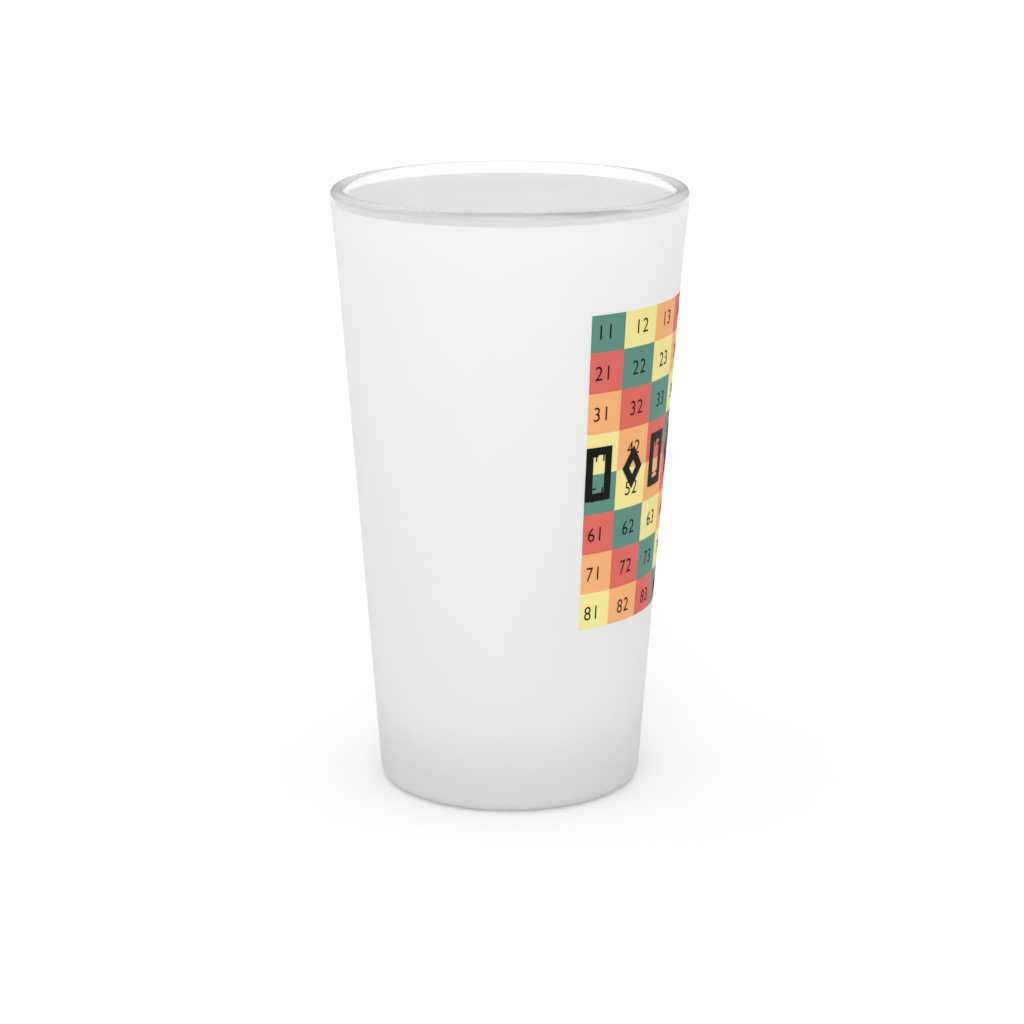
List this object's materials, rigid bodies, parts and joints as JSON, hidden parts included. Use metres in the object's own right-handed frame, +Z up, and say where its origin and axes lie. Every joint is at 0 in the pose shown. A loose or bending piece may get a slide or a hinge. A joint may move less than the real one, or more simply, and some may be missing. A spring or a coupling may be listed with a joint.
{
  "type": "pint glass",
  "caption": "Tapered pint glass with a thick base, frosted outside up to a clear lip, and a printed panel of coloured squares on one side.",
  "frame": {"origin": "on the axis, in the plane that the glass stands on", "axes": "+Z up along the axis through the mouth, +X through the middle of the printed panel"},
  "size_m": [0.0888, 0.0888, 0.1524],
  "materials": {
    "clear_glass": "clear soda-lime glass, fire-polished",
    "frosting": "fine satin frosting, translucent white",
    "ink_green": "satin printed ink",
    "ink_yellow": "satin printed ink",
    "ink_orange": "satin printed ink",
    "ink_red": "satin printed ink",
    "ink_black": "satin printed ink"
  },
  "bodies": {
    "root": {"glass_body": "clear_glass", "frost_coating": "frosting", "ink_green_1": "ink_green", "ink_green_2": "ink_green", "ink_green_3": "ink_green", "ink_yellow_1": "ink_yellow", "ink_yellow_2": "ink_yellow", "ink_yellow_3": "ink_yellow", "ink_yellow_4": "ink_yellow", "ink_orange_1": "ink_orange", "ink_orange_2": "ink_orange", "ink_orange_3": "ink_orange", "ink_orange_4": "ink_orange", "ink_red_1": "ink_red", "ink_red_2": "ink_red", "ink_red_3": "ink_red", "ink_red_4": "ink_red", "ink_black_1": "ink_black", "ink_black_2": "ink_black", "ink_black_3": "ink_black", "ink_black_4": "ink_black", "ink_black_5": "ink_black", "ink_black_6": "ink_black", "ink_black_7": "ink_black", "ink_black_8": "ink_black"}
  },
  "joints": []
}
